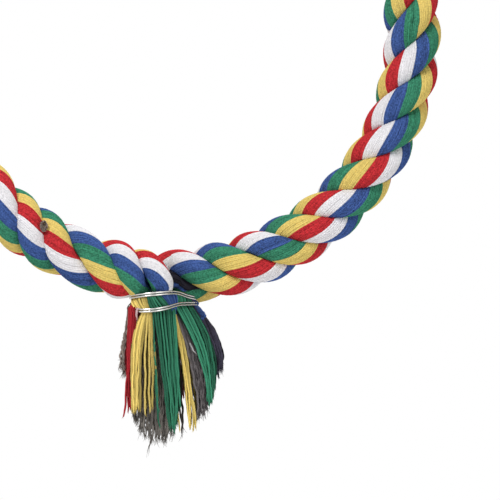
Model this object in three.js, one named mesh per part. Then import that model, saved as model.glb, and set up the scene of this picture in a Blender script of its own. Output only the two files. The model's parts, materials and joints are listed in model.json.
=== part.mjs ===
// Rope swing perch: a ring of three-strand cotton rope laid over a core wire. The two ends of the rope meet
// at the bottom, are bound with steel wire and hang on as a tassel. The top of the ring runs through a
// welded hang ring, which hangs in a quick link. Millimetres, +Z up, the front towards -Y. The origin is
// the highest point inside the quick link, where it hangs on a bar.

import * as THREE from 'three';

// Rope
const RING_RADIUS = 112.5; // to the middle of the rope, so the ring measures about 250 over the rope
const STRAND_DIAMETER = 11;
const LAY_LENGTH = 54.8; // one full turn of a strand round the rope
const STRAND_GAP = 0.35;
const STRAND_COUNT = 3;
const FIRST_LOBE_DEGREES = -1.9; // below 3 o'clock, where strand 1 faces the front
const STRAND_SIDES = 8;
const STEPS_PER_LAY = 12;

// Core wire
const CORE_WIRE_DIAMETER = 3;
const CORE_WIRE_SIDES = 6;
const CORE_WIRE_STEP_DEGREES = 6;

// Rope ends, drawn thin and bent down side by side into the binding
const END_STRAND_DIAMETER = 8.1;
const END_STRAND_GAP = 0.85;
const END_BEND_SPARE = 2.5; // bend radius beyond what the three strands need
const END_BUNDLE_X = -3.5;
const END_TURN_DEGREES = 55; // the left end lies in front of the right one by this turn
const END_NARROWING_LENGTH = 10;
const END_SHIFT_LENGTH = 42;
const END_UNLAY_LENGTH = 8;
const END_DROP = 19; // from the middle of the rope at the ring's foot to the end of the strands

// Binding wire, two bands of two turns
const BINDING_WIRE_DIAMETER = 0.9;
const BINDING_CLEARANCE = 0.4;
const BINDING_TURNS_PER_BAND = 2;
const BINDING_PITCH = 1.45;
const BINDING_CHANGE = 0.4; // share of a turn, at the back, in which the wire goes down to the lower band
const UPPER_BAND_DROP = 12.2;
const UPPER_BAND_BOW = 3;
const UPPER_BAND_BOW_DEGREES = -55;
const LOWER_BAND_DROP = 15.1;
const LOWER_BAND_SLOPE = 1.1;
const BINDING_STEPS_PER_TURN = 28;
const BINDING_SIDES = 6;
const BINDING_END_LENGTH = 2;

// Tassel
const TASSEL_GAP = 0.3;
const TASSEL_TOP_HALF_WIDTH = 15.5;
const TASSEL_HALF_WIDTH = 23.4;
const TASSEL_TOP_HALF_DEPTH = 14.5;
const TASSEL_HALF_DEPTH = 19;
const TASSEL_X = -0.6;
const TASSEL_SPREAD_DROP = 24;
const TUFT_GAP_DEGREES = 1.2;
const TUFT_INNER_SHARE = 0.47; // outer tufts fill the tassel from here outwards
const CORE_TUFT_SHARE = 0.42;
const TUFT_TIP_SHARE = 0.6;
const TUFT_LEVELS = [1, 0.85, 0.68, 0.45, 0.28, 0.12, 0];

// Quick link and its sleeve nut
const LINK_WIRE_DIAMETER = 5;
const LINK_INSIDE_WIDTH = 13;
const LINK_INSIDE_LENGTH = 39;
const LINK_MOUTH = 6.5;
const LINK_STUD = 3; // threaded leg under the mouth that the nut closes over
const LINK_SIDES = 10;
const LINK_BEND_STEPS = 12;
const NUT_LENGTH = 12;
const NUT_ACROSS_FLATS = 8.6;
const NUT_BORE_CLEARANCE = 0.3;
const NUT_FOOT_SPARE = 0.5; // straight leg left under the closed nut

// Hang ring
const HANG_RING_WIRE_DIAMETER = 4;
const HANG_RING_INSIDE = 36;
const HANG_RING_SIDES = 10;
const HANG_RING_STEPS = 36;
const HANG_CLEARANCE = 0.3;

const FRONT = new THREE.Vector3(0, -1, 0);
const SIDEWAYS = new THREE.Vector3(0, 1, 0);
const UP = new THREE.Vector3(0, 0, 1);
const radians = THREE.MathUtils.degToRad;
const lerp = THREE.MathUtils.lerp;
const easeBetween = (low, high, value) => THREE.MathUtils.smoothstep(value, low, high);

// Materials

const cotton = (color) => new THREE.MeshStandardMaterial({ color, roughness: 0.95, metalness: 0 });
const steel = (color, roughness) => new THREE.MeshStandardMaterial({ color, roughness, metalness: 1 });

const materials = {
  strands: [cotton('#c4303c'), cotton('#2f8a5c'), cotton('#3f58a0')],
  red: cotton('#a3232f'),
  yellow: cotton('#dcb84e'),
  green: cotton('#1f8257'),
  navy: cotton('#2c365f'),
  blue: cotton('#3a569c'),
  white: cotton('#dddbdd'),
  grey: cotton('#5b5350'),
  wire: steel('#c9cac8', 0.25),
  zinc: steel('#b9bcc0', 0.35),
  core: steel('#8d8f92', 0.5),
};

// Closed bodies

// Skins a row of rings, each with as many corners, that run anticlockwise seen from the last ring, and
// closes both ends with flat fans.
function loft(rings) {
  const corners = rings[0].length;
  const points = rings.flat();
  const triangles = [];
  for (let ring = 0; ring < rings.length - 1; ring += 1) {
    for (let corner = 0; corner < corners; corner += 1) {
      const here = ring * corners + corner;
      const beside = ring * corners + ((corner + 1) % corners);
      triangles.push(here, beside, beside + corners, here, beside + corners, here + corners);
    }
  }
  const lastRing = (rings.length - 1) * corners;
  for (const [start, forward] of [[0, false], [lastRing, true]]) {
    const middle = new THREE.Vector3();
    for (let corner = 0; corner < corners; corner += 1) {
      middle.add(points[start + corner]);
    }
    const hub = points.push(middle.divideScalar(corners)) - 1;
    for (let corner = 0; corner < corners; corner += 1) {
      const here = start + corner;
      const beside = start + ((corner + 1) % corners);
      triangles.push(hub, forward ? here : beside, forward ? beside : here);
    }
  }
  const geometry = new THREE.BufferGeometry();
  geometry.setFromPoints(points);
  geometry.setIndex(triangles);
  geometry.computeVertexNormals();
  return geometry;
}

// A round tube along stations, each with a point, a radius and the side its first corner faces.
function tube(stations, sides) {
  const rings = stations.map((station, index) => {
    const before = stations[Math.max(index - 1, 0)].point;
    const after = stations[Math.min(index + 1, stations.length - 1)].point;
    const along = after.clone().sub(before).normalize();
    const across = station.facing.clone().addScaledVector(along, -station.facing.dot(along)).normalize();
    const third = along.clone().cross(across);
    return Array.from({ length: sides }, (unused, side) => {
      const turn = (2 * Math.PI * side) / sides;
      return station.point
        .clone()
        .addScaledVector(across, station.radius * Math.cos(turn))
        .addScaledVector(third, station.radius * Math.sin(turn));
    });
  });
  return loft(rings);
}

function addMesh(group, name, geometry, material) {
  const mesh = new THREE.Mesh(geometry, material);
  mesh.name = name;
  group.add(mesh);
  return mesh;
}

// Lay of the rope

// Least distance between the middles of two neighbouring strands on the ring's inner side.
function strandSpacing(layRadius) {
  const samples = 60;
  const innerLay = LAY_LENGTH * (1 - layRadius / RING_RADIUS);
  let least = Infinity;
  for (let sample = 0; sample <= samples; sample += 1) {
    const lag = (Math.PI / 2) * (sample / samples);
    const chord = 2 * layRadius * Math.sin(Math.PI / STRAND_COUNT - lag / 2);
    least = Math.min(least, Math.hypot(chord, (innerLay * lag) / (2 * Math.PI)));
  }
  return least;
}

// The distance from the rope's middle at which the strands just clear each other.
function fittedLayRadius() {
  let low = STRAND_DIAMETER / 2;
  let high = STRAND_DIAMETER;
  for (let halving = 0; halving < 40; halving += 1) {
    const middle = (low + high) / 2;
    if (strandSpacing(middle) < STRAND_DIAMETER + STRAND_GAP) {
      low = middle;
    } else {
      high = middle;
    }
  }
  return high;
}

const layRadius = fittedLayRadius();
const ropeRadius = layRadius + STRAND_DIAMETER / 2;
const endLayRadius = (END_STRAND_DIAMETER + END_STRAND_GAP) / (2 * Math.sin(Math.PI / STRAND_COUNT));
const endRadius = endLayRadius + END_STRAND_DIAMETER / 2;
const endBendRadius = endRadius + END_BEND_SPARE;
const endHalfSpread = endRadius + STRAND_GAP / 2;
const endFootZ = -RING_RADIUS - END_DROP;

// Course of the rope, in the ring's own frame with the ring's middle at zero. The distance s runs along the
// rope's middle, from 0 at strand 1's first front lobe: clockwise as seen from the front when positive.

const outwardAt = (angle) => new THREE.Vector3(Math.cos(angle), 0, -Math.sin(angle));
const firstLobeAngle = radians(FIRST_LOBE_DEGREES);

// One end of the rope: it leaves the ring's circle on a bend that turns it straight down.
function ropeEnd(side) {
  const turn = radians(END_TURN_DEGREES);
  const tailX = END_BUNDLE_X + side * endHalfSpread * Math.cos(turn);
  const tailY = side * endHalfSpread * Math.sin(turn);
  const bendX = tailX + side * endBendRadius;
  const bendZ = -Math.sqrt((RING_RADIUS + endBendRadius) ** 2 - bendX ** 2);
  const leaveAngle = Math.atan2(-bendZ, bendX) - (side < 0 ? 2 * Math.PI : 0);
  const bendTurn = side > 0 ? leaveAngle : -Math.PI - leaveAngle;
  const leaveS = RING_RADIUS * (leaveAngle - firstLobeAngle);
  const length = bendTurn * endBendRadius + (bendZ - endFootZ);
  return { side, tailX, tailY, bendX, bendZ, leaveAngle, bendTurn, leaveS, footS: leaveS + side * length };
}

const rightEnd = ropeEnd(1);
const leftEnd = ropeEnd(-1);

// How far the rope has moved to the front or back once it has gone past the point where it leaves the circle.
function ropeShift(end, past) {
  return end.tailY * easeBetween(-END_SHIFT_LENGTH, (end.bendTurn * endBendRadius) / 2, past);
}

// Where the rope's middle is at s, the two directions across the rope there (outward from the ring and
// towards the front), and how far past the circle it is (negative while it is still on it).
function ropeAt(s) {
  const end = s > 0 ? rightEnd : leftEnd;
  const past = (s - end.leaveS) * end.side;
  const bendLength = end.bendTurn * endBendRadius;
  const point = new THREE.Vector3();
  let outward = outwardAt(firstLobeAngle + s / RING_RADIUS);
  if (past <= 0) {
    point.addScaledVector(outward, RING_RADIUS);
  } else {
    outward = outwardAt(end.leaveAngle - (end.side * Math.min(past, bendLength)) / endBendRadius);
    point.set(end.bendX, 0, end.bendZ).addScaledVector(outward, -endBendRadius);
    point.z -= Math.max(past - bendLength, 0);
  }
  point.y = ropeShift(end, past);
  const slope = (end.side * (ropeShift(end, past + 1) - ropeShift(end, past - 1))) / 2;
  const along = outward.clone().cross(FRONT).addScaledVector(FRONT, -slope).normalize();
  return { point, outward, front: along.cross(outward), past, end };
}

// One strand at s. It turns once round the rope in each lay, and runs straight where the rope ends.
function strandAt(strand, s) {
  const { point, outward, front, past, end } = ropeAt(s);
  const unlaid = Math.min(Math.max(past, 0), END_UNLAY_LENGTH);
  const laidS = past <= 0 ? s : end.leaveS + end.side * (unlaid - unlaid ** 2 / (2 * END_UNLAY_LENGTH));
  const turn = Math.PI / 2 + 2 * Math.PI * (laidS / LAY_LENGTH - strand / STRAND_COUNT);
  const narrowing = easeBetween(-END_NARROWING_LENGTH, 0, past);
  const facing = outward.clone().multiplyScalar(Math.cos(turn)).addScaledVector(front, Math.sin(turn));
  const distance = lerp(layRadius, endLayRadius, narrowing);
  const radius = lerp(STRAND_DIAMETER, END_STRAND_DIAMETER, narrowing) / 2;
  return { point: point.addScaledVector(facing, distance), facing, radius };
}

function makeStrand(strand) {
  const length = rightEnd.footS - leftEnd.footS;
  const steps = Math.ceil((length / LAY_LENGTH) * STEPS_PER_LAY);
  const stations = Array.from({ length: steps + 1 }, (unused, step) =>
    strandAt(strand, leftEnd.footS + (length * step) / steps));
  return tube(stations, STRAND_SIDES);
}

// The core wire runs where the rope has its full thickness.
function makeCoreWire() {
  const startS = leftEnd.leaveS + END_NARROWING_LENGTH;
  const endS = rightEnd.leaveS - END_NARROWING_LENGTH;
  const stepLength = RING_RADIUS * radians(CORE_WIRE_STEP_DEGREES);
  const steps = Math.ceil((endS - startS) / stepLength);
  const stations = Array.from({ length: steps + 1 }, (unused, step) => {
    const { point } = ropeAt(startS + ((endS - startS) * step) / steps);
    return { point, facing: FRONT, radius: CORE_WIRE_DIAMETER / 2 };
  });
  return tube(stations, CORE_WIRE_SIDES);
}

// Binding wire

// Where a loop round the two rope ends is after a share of one turn: two half circles and two straights.
// It starts in the middle of the back straight and comes round the left side to the front.
function bindingLoopAt(share) {
  const round = endRadius + BINDING_CLEARANCE + BINDING_WIRE_DIAMETER / 2;
  const half = Math.PI * round;
  const straight = 2 * endHalfSpread;
  const around = 2 * (half + straight);
  const walked = (share * around + around - straight / 2) % around;
  const rest = walked % (half + straight);
  const flip = walked < half + straight ? 1 : -1;
  const turn = Math.PI / 2 + Math.min(rest / round, Math.PI);
  const slid = Math.max(rest - half, 0);
  const along = flip * (-endHalfSpread + round * Math.cos(turn) + slid);
  const aside = flip * round * Math.sin(turn);
  const tilt = radians(END_TURN_DEGREES);
  return new THREE.Vector3(
    END_BUNDLE_X + along * Math.cos(tilt) - aside * Math.sin(tilt),
    along * Math.sin(tilt) + aside * Math.cos(tilt),
    0,
  );
}

// Heights of the two bands: the upper one bows up over the front, the lower one slopes down to the left.
function bindingHeight(turns, angle) {
  const bow = UPPER_BAND_BOW * ((1 + Math.cos(angle - radians(UPPER_BAND_BOW_DEGREES))) / 2) ** 2;
  const upper = -UPPER_BAND_DROP + bow + BINDING_PITCH * (BINDING_TURNS_PER_BAND / 2 - turns);
  const slope = LOWER_BAND_SLOPE * (1 - Math.cos(angle));
  const lower = -LOWER_BAND_DROP - slope + BINDING_PITCH * ((BINDING_TURNS_PER_BAND * 3) / 2 - turns);
  const change = easeBetween(BINDING_TURNS_PER_BAND - BINDING_CHANGE, BINDING_TURNS_PER_BAND, turns);
  return -RING_RADIUS + lerp(upper, lower, change);
}

function bindingPoints() {
  const turnCount = 2 * BINDING_TURNS_PER_BAND;
  const steps = turnCount * BINDING_STEPS_PER_TURN;
  const points = [];
  for (let step = 0; step <= steps; step += 1) {
    const turns = (turnCount * step) / steps;
    const point = bindingLoopAt(turns);
    point.z = bindingHeight(turns, Math.atan2(point.y, point.x - END_BUNDLE_X));
    points.push(point);
  }
  const startWay = points[0].clone().sub(points[1]).setZ(0).normalize();
  const endWay = points[steps].clone().sub(points[steps - 1]).setZ(0).normalize();
  points.unshift(points[0].clone().addScaledVector(startWay, BINDING_END_LENGTH));
  points.push(points[points.length - 1].clone().addScaledVector(endWay, BINDING_END_LENGTH));
  return points;
}

// Least gap between turns of the wire, over pairs of points more than a quarter of a turn apart.
function leastSelfGap(points) {
  const apart = BINDING_STEPS_PER_TURN / 4;
  let least = Infinity;
  for (let first = 0; first < points.length; first += 1) {
    for (let second = first + apart; second < points.length; second += 1) {
      least = Math.min(least, points[first].distanceTo(points[second]));
    }
  }
  return least - BINDING_WIRE_DIAMETER;
}

function makeBindingWire() {
  const points = bindingPoints();
  console.log(`binding wire: least gap to itself ${leastSelfGap(points).toFixed(2)} mm`);
  const stations = points.map((point) => ({ point, facing: UP, radius: BINDING_WIRE_DIAMETER / 2 }));
  return tube(stations, BINDING_SIDES);
}

// Tassel: tufts of unlaid yarn, each a sector of the tassel. Sectors count from the left side (0 degrees)
// through the front (90), the right side (180) and the back (270).

const GREY_LEFT_TUFT = { colour: 'grey', from: -22, to: 34, length: 27 };
const RED_LEFT_TUFT = { colour: 'red', from: 34, to: 49, length: 28 };
const YELLOW_LEFT_TUFT = { colour: 'yellow', from: 49, to: 70, length: 45 };
const GREEN_CENTRE_TUFT = { colour: 'green', from: 70, to: 104, length: 54 };
const YELLOW_RIGHT_TUFT = { colour: 'yellow', from: 104, to: 116, length: 55 };
const GREY_RIGHT_TUFT = { colour: 'grey', from: 116, to: 132, length: 48 };
const GREEN_RIGHT_TUFT = { colour: 'green', from: 132, to: 152, length: 41 };
const NAVY_RIGHT_TUFT = { colour: 'navy', from: 152, to: 198, length: 28 };
const WHITE_BACK_TUFT = { colour: 'white', from: 198, to: 232, length: 31 };
const BLUE_BACK_TUFT = { colour: 'blue', from: 232, to: 264, length: 40 };
const RED_BACK_TUFT = { colour: 'red', from: 264, to: 296, length: 42 };
const GREY_BACK_TUFT = { colour: 'grey', from: 296, to: 338, length: 52 };
const GREY_CORE_TUFT = { colour: 'grey', length: 59 };
const CORE_TUFT_CORNERS = 10;
const tasselTopZ = endFootZ - TASSEL_GAP;

// A point of the tassel: share 0 is its middle and 1 its outside, drop counts down from its top.
function tasselPoint(degrees, share, drop) {
  const closeness = Math.max(1 - drop / TASSEL_SPREAD_DROP, 0) ** 3;
  const halfWidth = lerp(TASSEL_HALF_WIDTH, TASSEL_TOP_HALF_WIDTH, closeness);
  const halfDepth = lerp(TASSEL_HALF_DEPTH, TASSEL_TOP_HALF_DEPTH, closeness);
  const angle = radians(degrees);
  return new THREE.Vector3(
    lerp(TASSEL_X, END_BUNDLE_X, closeness) - halfWidth * share * Math.cos(angle),
    -halfDepth * share * Math.sin(angle),
    tasselTopZ - drop,
  );
}

// The corners of a tuft's section as [degrees, share] pairs.
function tuftSection({ from, to }) {
  const first = from + TUFT_GAP_DEGREES;
  const last = to - TUFT_GAP_DEGREES;
  const outer = [0, 1 / 3, 2 / 3, 1].map((way) => [lerp(first, last, way), 1]);
  const inner = [1, 0.5, 0].map((way) => [lerp(first, last, way), TUFT_INNER_SHARE]);
  return [...outer, ...inner];
}

function coreTuftSection() {
  return Array.from({ length: CORE_TUFT_CORNERS }, (unused, corner) =>
    [(360 * corner) / CORE_TUFT_CORNERS, CORE_TUFT_SHARE]);
}

// Draws a section down to the tuft's tip, where it thins towards its own middle.
function makeTuft(section, length) {
  const rings = TUFT_LEVELS.map((level) => {
    const ring = section.map(([degrees, share]) => tasselPoint(degrees, share, level * length));
    const middle = new THREE.Vector3();
    ring.forEach((point) => middle.addScaledVector(point, 1 / ring.length));
    const thin = 1 - (1 - TUFT_TIP_SHARE) * easeBetween(0.6, 1, level);
    return ring.map((point) => point.lerpVectors(middle, point, thin));
  });
  return loft(rings);
}

// Hanger

const linkBendRadius = (LINK_INSIDE_WIDTH + LINK_WIRE_DIAMETER) / 2;
const linkTopBendZ = -LINK_INSIDE_WIDTH / 2;
const linkFootBendZ = -LINK_INSIDE_LENGTH + LINK_INSIDE_WIDTH / 2;
const nutFootZ = linkFootBendZ + NUT_FOOT_SPARE;
const linkMouthFootZ = nutFootZ + LINK_STUD;

// The link's wire runs from the top of its mouth over both bends to the foot of the mouth.
function makeQuickLink() {
  const points = [new THREE.Vector3(linkBendRadius, 0, linkMouthFootZ + LINK_MOUTH)];
  for (const [bendZ, startTurn] of [[linkTopBendZ, 0], [linkFootBendZ, Math.PI]]) {
    for (let step = 0; step <= LINK_BEND_STEPS; step += 1) {
      const turn = startTurn + (Math.PI * step) / LINK_BEND_STEPS;
      points.push(new THREE.Vector3(linkBendRadius * Math.cos(turn), 0, bendZ + linkBendRadius * Math.sin(turn)));
    }
  }
  points.push(new THREE.Vector3(linkBendRadius, 0, linkMouthFootZ));
  const stations = points.map((point) => ({ point, facing: SIDEWAYS, radius: LINK_WIRE_DIAMETER / 2 }));
  return tube(stations, LINK_SIDES);
}

function makeSleeveNut() {
  const corner = NUT_ACROSS_FLATS / 2 / Math.cos(Math.PI / 6);
  const outline = new THREE.Shape();
  for (let side = 0; side < 6; side += 1) {
    const turn = (Math.PI / 3) * side;
    const place = [corner * Math.cos(turn), corner * Math.sin(turn)];
    if (side === 0) {
      outline.moveTo(...place);
    } else {
      outline.lineTo(...place);
    }
  }
  outline.closePath();
  const bore = new THREE.Path();
  bore.absarc(0, 0, LINK_WIRE_DIAMETER / 2 + NUT_BORE_CLEARANCE, 0, 2 * Math.PI, true);
  outline.holes.push(bore);
  return new THREE.ExtrudeGeometry(outline, { depth: NUT_LENGTH, bevelEnabled: false, curveSegments: 8 });
}

const hangRingRadius = (HANG_RING_INSIDE + HANG_RING_WIRE_DIAMETER) / 2;
const hangRingTopZ = -LINK_INSIDE_LENGTH + HANG_CLEARANCE + HANG_RING_WIRE_DIAMETER / 2;
const hangRingZ = hangRingTopZ - hangRingRadius;
const hangRingFootZ = hangRingZ - hangRingRadius;
const ringMiddleZ = hangRingFootZ + HANG_RING_WIRE_DIAMETER / 2 + HANG_CLEARANCE - (RING_RADIUS - ropeRadius);

// Assembly

const ropeSwingPerch = new THREE.Group();
addMesh(ropeSwingPerch, 'quick_link', makeQuickLink(), materials.zinc);
const sleeveNut = addMesh(ropeSwingPerch, 'sleeve_nut', makeSleeveNut(), materials.zinc);
sleeveNut.position.set(linkBendRadius, 0, nutFootZ);

const hangRingShape = new THREE.TorusGeometry(
  hangRingRadius,
  HANG_RING_WIRE_DIAMETER / 2,
  HANG_RING_SIDES,
  HANG_RING_STEPS,
);
const hangRing = addMesh(ropeSwingPerch, 'hang_ring', hangRingShape, materials.zinc);
hangRing.position.z = hangRingZ;
hangRing.rotation.y = Math.PI / 2;

const perch = new THREE.Group();
perch.position.z = ringMiddleZ;
ropeSwingPerch.add(perch);
for (let strand = 0; strand < STRAND_COUNT; strand += 1) {
  addMesh(perch, `rope_strand_${strand + 1}`, makeStrand(strand), materials.strands[strand]);
}
addMesh(perch, 'core_wire', makeCoreWire(), materials.core);
addMesh(perch, 'binding_wire', makeBindingWire(), materials.wire);
const outerTufts = {
  grey_left_tuft: GREY_LEFT_TUFT,
  red_left_tuft: RED_LEFT_TUFT,
  yellow_left_tuft: YELLOW_LEFT_TUFT,
  green_centre_tuft: GREEN_CENTRE_TUFT,
  yellow_right_tuft: YELLOW_RIGHT_TUFT,
  grey_right_tuft: GREY_RIGHT_TUFT,
  green_right_tuft: GREEN_RIGHT_TUFT,
  navy_right_tuft: NAVY_RIGHT_TUFT,
  white_back_tuft: WHITE_BACK_TUFT,
  blue_back_tuft: BLUE_BACK_TUFT,
  red_back_tuft: RED_BACK_TUFT,
  grey_back_tuft: GREY_BACK_TUFT,
};
for (const [name, tuft] of Object.entries(outerTufts)) {
  addMesh(perch, name, makeTuft(tuftSection(tuft), tuft.length), materials[tuft.colour]);
}
const coreTuft = makeTuft(coreTuftSection(), GREY_CORE_TUFT.length);
addMesh(perch, 'grey_core_tuft', coreTuft, materials[GREY_CORE_TUFT.colour]);

export default ropeSwingPerch;
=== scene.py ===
"""Looks of the rope swing perch: laid cotton yarn, bright wire, a loose tassel and a zinc hanger."""

import json
import math
from dataclasses import dataclass
from types import SimpleNamespace

import bpy
import numpy as np
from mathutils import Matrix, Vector


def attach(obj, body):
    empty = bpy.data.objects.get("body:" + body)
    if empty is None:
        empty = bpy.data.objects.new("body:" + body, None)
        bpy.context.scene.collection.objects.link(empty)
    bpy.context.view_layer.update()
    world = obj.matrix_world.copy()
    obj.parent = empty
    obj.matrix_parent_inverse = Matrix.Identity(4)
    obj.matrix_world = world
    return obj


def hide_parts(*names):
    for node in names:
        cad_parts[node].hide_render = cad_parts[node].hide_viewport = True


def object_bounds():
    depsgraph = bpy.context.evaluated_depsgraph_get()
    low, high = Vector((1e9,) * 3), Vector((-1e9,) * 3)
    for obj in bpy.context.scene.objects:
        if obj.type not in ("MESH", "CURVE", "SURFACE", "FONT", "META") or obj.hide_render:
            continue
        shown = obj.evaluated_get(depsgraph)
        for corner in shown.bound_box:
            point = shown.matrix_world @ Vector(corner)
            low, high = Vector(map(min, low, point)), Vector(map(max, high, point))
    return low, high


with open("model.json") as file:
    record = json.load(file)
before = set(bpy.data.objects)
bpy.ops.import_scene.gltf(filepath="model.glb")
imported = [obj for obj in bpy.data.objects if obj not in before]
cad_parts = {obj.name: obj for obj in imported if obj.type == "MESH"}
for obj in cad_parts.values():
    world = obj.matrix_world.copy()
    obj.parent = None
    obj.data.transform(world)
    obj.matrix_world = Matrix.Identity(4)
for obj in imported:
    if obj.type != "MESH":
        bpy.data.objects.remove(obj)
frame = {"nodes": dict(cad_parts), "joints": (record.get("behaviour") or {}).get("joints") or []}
cad_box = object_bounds()

# Lengths are in millimetres where no comment says metres. MM makes them metres, and CLOSE counts as equal.
MM = 0.001
CLOSE = 0.01

# Seeded randomness. The kinks of loose yarn have a generator of their own.
rng = np.random.default_rng(20)
crimp_rng = np.random.default_rng(5)
WANDER_RATES = (0.8, 1.25)

# Rope. The ring and the places of its ends are those of the solids. The yarn's lay is a little shorter than
# theirs, and it unlays over a longer way at the ends.
RING_RADIUS = 112.5
ROPE_RADIUS = 13.242
STRAND_COUNT = 3
STRAND_GAP = 0.35
LAY_LENGTH = 54.65
FIRST_LOBE_ANGLE = math.radians(-1.9)
END_STRAND_DIAMETER = 8.1
END_STRAND_GAP = 0.85
END_BUNDLE_X = -3.5
END_TURN = math.radians(55)
END_SHIFT_LENGTH = 42
END_UNLAY_LENGTH = 16

# Yarn of the strands. Strands are full and pressed flat against each other in the ring, and become round
# between the distances of FULL_STRAND_END. The next strand comes nearest at NEIGHBOUR_LAG further along.
# A yarn wanders aside by a share of its width, and lifts a little.
YARNS_PER_COLOUR = 7
YARN_RADIUS = 0.6
YARN_SIDES = 7
YARN_END_THINNING = 0.1
YARN_ASIDE = 0.12
YARN_ASIDE_WAVES = (18, 31, 53)
YARN_LIFT = 0.04
YARN_LIFT_WAVES = (25, 47, 90)
FULL_STRAND_DIAMETER = 13.2
FULL_LAY_RADIUS = 6.7
FULL_STRAND_END = (-6, 8)
ROUND_STRAND_DIAMETER = 10.65
ROUND_LAY_RADIUS = 7.2
NEIGHBOUR_LAG = LAY_LENGTH * 34 / 360
FLAT_HARDNESS = 14
YARN_STEPS_PER_LAY = 50
END_SAMPLE_LENGTH = 32
END_SAMPLES = 64

# Rope ends: 1 is the right one and -1 the left one. Distances start where the rope leaves the ring's circle,
# and are minus before it. Yarn bends more tightly than the solid strands, its tails stand aside from theirs
# by x and y, and TAIL_TUCK draws them in under the binding by shares of x, y and z.
YARN_BEND_RADIUS = {1: 6.5, -1: 12.0}
YARN_TAIL_SHIFT = {1: (-6.0, 1.5), -1: (0.9, 0.0)}
YARN_END_STRAND_DIAMETER = 10.9
YARN_END_LAY_RADIUS = 6.4
BEND_PACKING = 0.97
BEND_HARDNESS = 6
BEND_REACH = 5
STRAND_FOOT_DROP = 13.5
TAIL_TUCK = np.array([0.2, 0.38, 0.0])
TAIL_TUCK_DROP = 4
TAIL_TUCK_LENGTH = 4.5

# Bands of yarn twist against the lay, so that the yarn on the outside runs almost along the rope. For each
# strand, BAND_START faces outward at the rope's first front lobe, and BAND_RATE bands pass in each lobe.
BAND_ORDER = ["white", "blue", "green", "yellow", "red"]
BAND_START = [2.09, 4.71, 10.074]
BAND_RATE = [-3.907, -4.02, -3.997]

# Irregular lay, in smooth steps: an amount, and the distances between which it comes in. LAY_DRIFT turns
# the rope by shares of a lobe, BAND_DRIFT turns a strand by bands, and ROPE_PUSH and STRAND_PUSH move the
# rope or a strand by x, y and z. Keys are the end, or the end and the strand.
LAY_DRIFT = {
    1: [(-0.12, -150, -80), (0.12, -54, -24), (-0.12, -14, 7)],
    -1: [(0.3, -200, -120), (-0.3, -68, -34), (0.18, -34, -16), (-0.55, -8, 8)],
}
BAND_DRIFT = {
    (1, 0): [(0.25, -200, -130), (-0.25, -58, -30), (-0.38, -24, -2)],
    (1, 1): [(-0.4, -260, -175), (0.4, -150, -108), (0.6, -40, -8)],
    (1, 2): [(-0.6, -260, -160), (0.85, -132, -90), (-0.25, -75, -45), (0.2, -60, -30)],
    (-1, 1): [(0.42, 0, 12)],
    (-1, 2): [(-0.35, -34, -12), (-0.65, -6, 8)],
}
ROPE_PUSH = {
    1: [((0.0, 0.0, -0.9), -50, -26)],
    -1: [((-0.7, 0.0, -1.0), -190, -110), ((0.7, 0.0, 0.0), -60, -20)],
}
STRAND_PUSH = {
    (1, 0): [((0.5, 0.0, -1.0), -22, -6)],
    (1, 1): [((0.0, 3.5, -0.8), -14, -2)],
    (-1, 0): [((0.0, 0.0, -1.8), -14, 2)],
    (-1, 1): [((1.9, 0.0, -1.6), -10, 4), ((0.0, 2.2, 0.0), 8, 14)],
}

# Colours of the yarn, as sRGB values. A speckle is the darkest and lightest share of a colour.
COLOURS = {
    "white": (228, 226, 229),
    "blue": (62, 88, 146),
    "green": (56, 127, 98),
    "yellow": (224, 198, 112),
    "red": (192, 48, 54),
    # Red made darker for the tassel's tufts: painted shade.
    "red_with_painted_shade": (160, 38, 46),
    "navy": (60, 57, 72),
    "grey": (114, 109, 104),
    # Grey made darker for the tuft in the gap between yellow and green: painted shade.
    "grey_with_painted_shade": (98, 93, 94),
    "brown_grey": (138, 124, 116),
    "pale_pink": (226, 190, 192),
}
LAID_SPECKLE = {
    "white": (0.78, 1.04),
    "blue": (0.46, 1.33),
    "green": (0.48, 1.34),
    "yellow": (0.72, 1.06),
    "red": (0.46, 1.22),
}
# The dark end is reached by yarn with low tones, which is painted shade on the inner yarn.
LOOSE_SPECKLE = (0.12, 1.15)

# Cotton: the stretch of its fibres round and along a yarn, mottling per metre, one turn of its plies, their
# height beside that of the fibres, and the depth of both in metres
FIBRE_STRETCH = (4.0, 0.55, 1.0)
MOTTLE_SCALE = 1250
PLY_PITCH = 2.6
PLY_HEIGHT = 0.35
FIBRE_DEPTH = 0.00012

# Core yarn that has come out beside the binding, partly real core yarn and partly painted shade: a dark yarn
# that covers a strand's white band where that strand lies in shade. It lies on one strand of the right end,
# in the shade of the strand that covers it, over a fan of angles from the cover that opens towards the
# binding.
CORE_YARN_STRAND = 1
CORE_YARN_COVER = 0
CORE_YARN_SPAN = (-13, 11)
CORE_YARN_COUNT = 26
CORE_YARN_STEPS = 16
CORE_YARN_NEAR_ANGLE = math.radians(15)
CORE_YARN_FAR_ANGLES = (math.radians(38), math.radians(150))
CORE_YARN_WANDER = 0.05
CORE_YARN_WAVES = (0.6, 1.1)
CORE_YARN_STAND = 0.2
# Low tones of the dark yarn: painted shade.
CORE_YARN_PAINTED_SHADE_TONES = (0, 0.4)

# Knot of core yarn that stands out of the rope on the left, placed from the ring's middle. Its yarns are
# arcs of some radians, and their reach and thickness vary by shares.
KNOT_MIDDLE = np.array([-58.6, -12.2, -90.6])
KNOT_RADII = np.array([1.45, 1.3, 2.4])
KNOT_LOOPS = 30
KNOT_LOOP_STEPS = 9
KNOT_ARCS = (0.8, 1.5)
KNOT_REACHES = (0.85, 1.1)
KNOT_YARN_RADIUS = 0.42
KNOT_YARN_SPREAD = (0.8, 1.2)

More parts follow.
